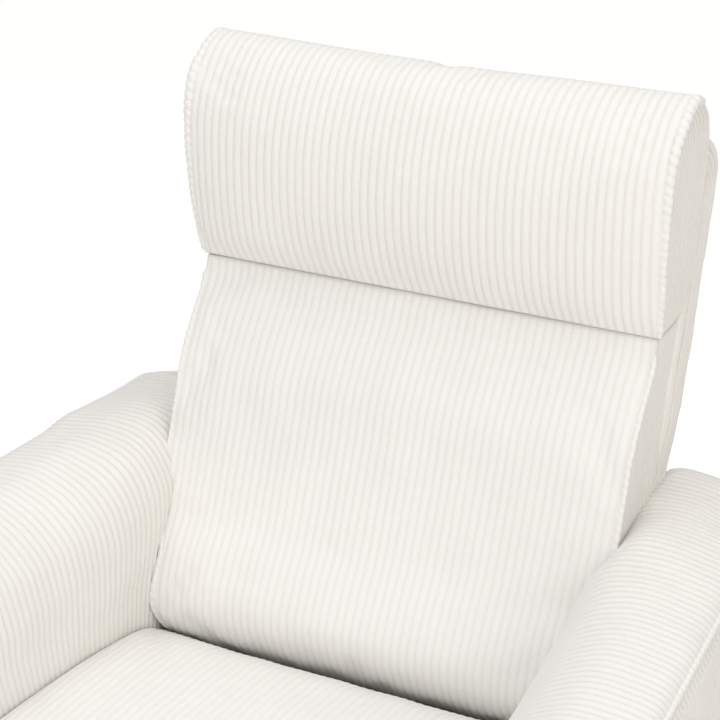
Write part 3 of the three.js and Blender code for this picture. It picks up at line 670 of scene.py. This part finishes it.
def arm(label, sign):
    """Builds one arm: crown panel, outer panel and two end panels on shared edges."""
    line = crown_line()
    run = float(np.sum(np.linalg.norm(np.diff(line, axis=0), axis=1)))

    def place(section, u, v):
        """Point at fraction u along the arm and v along the cross-section, whose crown is fuller where
        the back's side presses against it, and leans over the gap beside the back. The ribs are
        even along the crown's arc at the top and along the arm's length on the lower sides."""
        at = along(section, v)
        low = smooth((even_height - at[..., 1]) / even_run)
        y = along(line, u)[..., 0] * (1 - low) + (line[0, 0] + u * (line[-1, 0] - line[0, 0])) * low
        at_rear = rear_share(y)[..., None]
        if section is crown_ahead:
            full = (np.clip((y - seam.y + fill_from) / fill_run, 0, 1) ** 2)[..., None]
            at = at * (1 - full) + along(crown_beside, v) * full
            at = at * (1 - at_rear) + along(crown_rear, v) * at_rear
        across, height = at[..., 0], at[..., 1]
        outside = np.clip((across - outer_from) / outer_run, 0, 1)
        drop = shoulder(y) + rear_drop * at_rear[..., 0] * outside
        drop = drop * np.clip((height - drop_height) / drop_rise, 0, 1)
        x = arm_inner(y) + cover_gap + across / arm_width * (arm_outer(y) - arm_inner(y) - 2 * cover_gap)
        near_edge = np.clip(1 - across / overhang_width, 0, 1) ** 2
        near_top = smooth((height - overhang_height) / overhang_rise)
        x = x - overhang * beside_back(y) * near_top * near_edge
        return np.stack([sign * x, y, height - drop], axis=-1)

    U, V = np.meshgrid(np.linspace(0, 1, 41), np.linspace(0, 1, 29))
    UO, VO = np.meshgrid(np.linspace(0, 1, 41), np.linspace(0, 1, 17))
    crown_coarse, outer_coarse = place(crown_ahead, U, V), place(outer_section, UO, VO)
    stuck = crown_coarse[..., 2] < held_below
    crown_pins = (stuck | (V == 1) | (U == 0) | (U == 1)).astype(float)
    outer_pins = np.ones_like(VO)
    moves = inflate(f"arm_{label}", [crown_coarse, outer_coarse], [crown_pins, outer_pins],
                    pressure=2.0, looseness=0.001, limit=0.003)
    stops, relief = rib_stops(run, run / 2 % rib_pitch)
    grids, lifts, fades = [], [], []
    for section, count, moved in ((crown_ahead, 96, moves[0]), (outer_section, 56, moves[1])):
        U, V = np.meshgrid(stops / run, np.linspace(0, 1, count))
        settle = (np.sin(np.pi * U) ** 0.7 * np.clip((1 - V) / seam_fade, 0, 1))[..., None]
        grids.append(place(section, U, V) + sample(moved, U, V) * settle)
        spread = np.linalg.norm(np.gradient(grids[-1], axis=1), axis=2) / np.gradient(stops)[None, :]
        fades.append(np.clip(spread * 1.6 - 0.6, 0, 1))          # ribs die out where gathered together
        # Painted shade: towards the back of the crown the grooves are cut deeper and painted darker through
        # the groove attribute, and the outer panel's grooves are that deep and dark all along.
        rear_groove_share = np.clip((line[:, 0] - seam.y + rear_groove_run) / rear_groove_run, 0, 1)
        if section is outer_section:
            rear_groove_share = np.ones(len(line))
        deeper = crown_groove_depth + rear_groove_deepening * np.interp(stops / run, np.linspace(0, 1, len(line)), rear_groove_share)
        lifts.append(np.repeat((1 - (1 - relief) * deeper)[None, :], count, axis=0))
    for at_end in (0, -1):
        rim = np.vstack([grids[0][:, at_end], grids[1][1:, at_end]])
        if len(rim) % 2 == 0:
            rim = np.delete(rim, -2, axis=0)
        count = len(rim) // 2 + 1
        inner, outer = rim[:count], rim[::-1][:count]
        across, up = rib_stops(arm_width)
        share = (across / arm_width)[None, :, None]
        grids.append(inner[:, None, :] * (1 - share) + outer[:, None, :] * share)
        lifts.append(np.repeat(up[None, :], count, axis=0))
        fades.append(np.ones_like(lifts[-1]))
    mesh = closed_mesh(f"arm_cover_{label}", *raised(grids, lifts, fades, 0.0006, 11))
    piece = add_piece(f"arm_cover_{label}", mesh, "chassis", corduroy)
    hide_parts(f"arm_{label}")
    shoulder_seam = place(outer_section, np.linspace(0, 1, 60), np.zeros(60))
    welt(f"arm_seam_{label}", shoulder_seam, (0.003, 0.003), "chassis", 0.9)


arm("right", 1)
arm("left", -1)

# ---------------------------------------------------------------- rear panel and footrest
# The rear panel is thin padding over a board between the arms. The footrest pad is foam over a
# board, with the seat's ribs carried down it.
panel_low, panel_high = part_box("rear_panel")
panel_edge = (panel_low.y + 0.009, panel_high.z)
panel_front, panel_rear = [
    curve([(y, panel_low.z), (y, panel_high.z - 0.01), panel_edge], 60) for y in (panel_low.y, panel_high.y)]
bolster("rear_panel_cover", panel_front, panel_rear, panel_high.x, panel_high.x, "chassis", ["rear_panel"],
        rows=40, side_ribs=False, pressure=0.8, looseness=0.002, limit=0.004, loose_rear=True,
        seed=8)

pad_low, pad_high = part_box("footrest_pad")
pad_front = curve([(pad_high.y, pad_low.z), (pad_low.y + 0.012, pad_low.z + 0.006),
                   (pad_low.y + 0.003, pad_low.z + 0.03), (pad_low.y + 0.002, (pad_low.z + pad_high.z) / 2),
                   (pad_low.y + 0.003, pad_high.z - 0.03),
                   (pad_low.y + 0.012, pad_high.z - 0.006), (pad_high.y, pad_high.z)], 120)
pad_rear = curve([(pad_high.y, pad_low.z), (pad_high.y, pad_high.z)], 120)
bolster("footrest_cover", pad_front, pad_rear, pad_high.x, pad_high.x, "footrest", ["footrest_pad"],
        rows=64, side_ribs=False, pressure=1.5, looseness=0.006, limit=0.006, seed=9)

# ---------------------------------------------------------------- wooden frames
# Birch plywood boards, glued and stapled, with the grain along each board. The veneer is pale with
# darker streaks, and sawn faces are a little rough.
def node_material(material, *nodes):
    """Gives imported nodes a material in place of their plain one."""
    for node in nodes:
        for held in bpy.data.objects[node].material_slots:
            held.material = material


def plywood(name, stretch):
    """Veneer whose noise is drawn out along the axis with the smallest of three stretch factors."""
    material, shader, wire = new_material(name, Roughness=0.7, Specular_IOR_Level=0.3)
    board = wire.out("ShaderNodeTexCoord", "Object")
    at = wire.out("ShaderNodeMapping", "Vector", Vector=board, Scale=stretch)
    streaks = wire.out("ShaderNodeTexNoise", "Fac",
                       Vector=at, Scale=9.0, Detail=6.0, Roughness=0.6, Distortion=1.2)
    pores = wire.out("ShaderNodeTexNoise", "Fac", Vector=at, Scale=70.0, Detail=3.0, Roughness=0.7)
    tone = wire.out("ShaderNodeValToRGB", "Color", {"ramp": [
        (0.25, (0.60, 0.42, 0.25, 1)), (0.75, (0.80, 0.64, 0.43, 1))]}, Fac=streaks * 0.8 + pores * 0.2)
    feed(shader, "Base Color", tone)
    feed(shader, "Roughness", 0.62 + pores * 0.2)
    feed(shader, "Normal", wire.out("ShaderNodeBump", "Normal", Strength=0.3, Distance=0.0005, Height=pores))
    return material


node_material(plywood("plywood_across", (0.15, 2.0, 2.0)), "front_stretcher", "rear_stretcher",
              "seat_front_rail", "seat_rear_rail", "back_top_rail", "back_mid_rail", "back_bottom_rail",
              "footrest_board")
node_material(plywood("plywood_along", (2.0, 0.15, 2.0)), "arm_frame_left", "arm_frame_right",
              "seat_rail_left", "seat_rail_right")
node_material(plywood("plywood_upright", (2.0, 2.0, 0.15)), "back_post_left", "back_post_right")

# ---------------------------------------------------------------- steel mechanism
# Pressed side plates, links and brackets in satin black powder coat, with the fine orange peel that
# baked powder has. The tube and bar that join the two sides are coated the same.
coated, coated_shader, coat = new_material("black_powder_coat", Metallic=0.0, Specular_IOR_Level=0.5)
coat_place = coat.out("ShaderNodeTexCoord", "Object")
peel = coat.out("ShaderNodeTexNoise", "Fac", Vector=coat_place, Scale=420.0, Detail=2.0, Roughness=0.5)
dust = coat.out("ShaderNodeTexNoise", "Fac", Vector=coat_place, Scale=18.0, Detail=4.0, Roughness=0.6)
feed(coated_shader, "Base Color",
     coat.between(dust * 0.6, (0.018, 0.018, 0.020, 1), (0.045, 0.044, 0.043, 1)))
feed(coated_shader, "Roughness", 0.36 + dust * 0.2)
feed(coated_shader, "Normal",
     coat.out("ShaderNodeBump", "Normal", Strength=0.35, Distance=0.0003, Height=peel))
for part in ("side_plate", "back_bracket", "drive_link", "ottoman_link", "footrest_bracket"):
    node_material(coated, f"{part}_left", f"{part}_right")
node_material(coated, "sync_tube", "cross_bar")

# ---------------------------------------------------------------- pins and springs
# Zinc plated steel: pivot pins and sinuous seat springs, bright with a cloudy, faintly yellow
# passivated film and fine drawing lines.
zinc, zinc_shader, film = new_material("zinc_plate", Metallic=1.0)
film_place = film.out("ShaderNodeTexCoord", "Object")
clouds = film.out("ShaderNodeTexNoise", "Fac", Vector=film_place, Scale=45.0, Detail=4.0, Roughness=0.6)
grain = film.out("ShaderNodeTexNoise", "Fac", Vector=film_place, Scale=900.0, Detail=2.0, Roughness=0.5)
feed(zinc_shader, "Base Color", film.between(clouds, (0.58, 0.60, 0.64, 1), (0.72, 0.69, 0.60, 1)))
feed(zinc_shader, "Roughness", 0.25 + clouds * 0.2)
feed(zinc_shader, "Normal", film.out("ShaderNodeBump", "Normal", Strength=0.2, Distance=0.0002, Height=grain))
for part in ("recline_pin", "drive_pin", "elbow_pin", "footrest_pin"):
    node_material(zinc, f"{part}_left", f"{part}_right")
node_material(zinc, *[f"sinuous_spring_{i}" for i in range(1, 5)])

# ---------------------------------------------------------------- webbing
# Elastic webbing stapled across the back frame: a grey weave of warp ribs crossed by finer weft,
# drawn as two sets of waves on the strap's own directions.
strap, strap_shader, weave = new_material("elastic_webbing", Roughness=0.9, Specular_IOR_Level=0.2)
strap_place = weave.out("ShaderNodeTexCoord", "Object")
warp = weave.out("ShaderNodeTexWave", "Fac", {"bands_direction": "Z"}, Vector=strap_place, Scale=160.0)
weft = weave.out("ShaderNodeTexWave", "Fac", {"bands_direction": "X"}, Vector=strap_place, Scale=110.0)
feed(strap_shader, "Base Color",
     weave.between(warp * weft, (0.035, 0.038, 0.043, 1), (0.11, 0.12, 0.13, 1)))
feed(strap_shader, "Normal", weave.out("ShaderNodeBump", "Normal", Strength=0.6, Distance=0.0005,
                                       Height=warp * 0.6 + weft * 0.4))
node_material(strap, "back_webbing_1", "back_webbing_2", "back_webbing_3")

# ---------------------------------------------------------------- feet
# Tapered feet moulded in black plastic, with a fine spark-eroded texture and scuffs low down.
moulded, moulded_shader, mould = new_material("moulded_plastic", Specular_IOR_Level=0.4)
foot_place = mould.out("ShaderNodeTexCoord", "Object")
spark = mould.out("ShaderNodeTexNoise", "Fac", Vector=foot_place, Scale=700.0, Detail=2.0, Roughness=0.5)
scuff = mould.out("ShaderNodeTexNoise", "Fac", Vector=foot_place, Scale=60.0, Detail=5.0, Roughness=0.7)
feed(moulded_shader, "Base Color",
     mould.between(scuff * 0.5, (0.012, 0.012, 0.013, 1), (0.05, 0.05, 0.05, 1)))
feed(moulded_shader, "Roughness", 0.42 + scuff * 0.25)
feed(moulded_shader, "Normal",
     mould.out("ShaderNodeBump", "Normal", Strength=0.3, Distance=0.0003, Height=spark))
for end in ("front", "rear"):
    node_material(moulded, f"foot_{end}_left", f"foot_{end}_right")
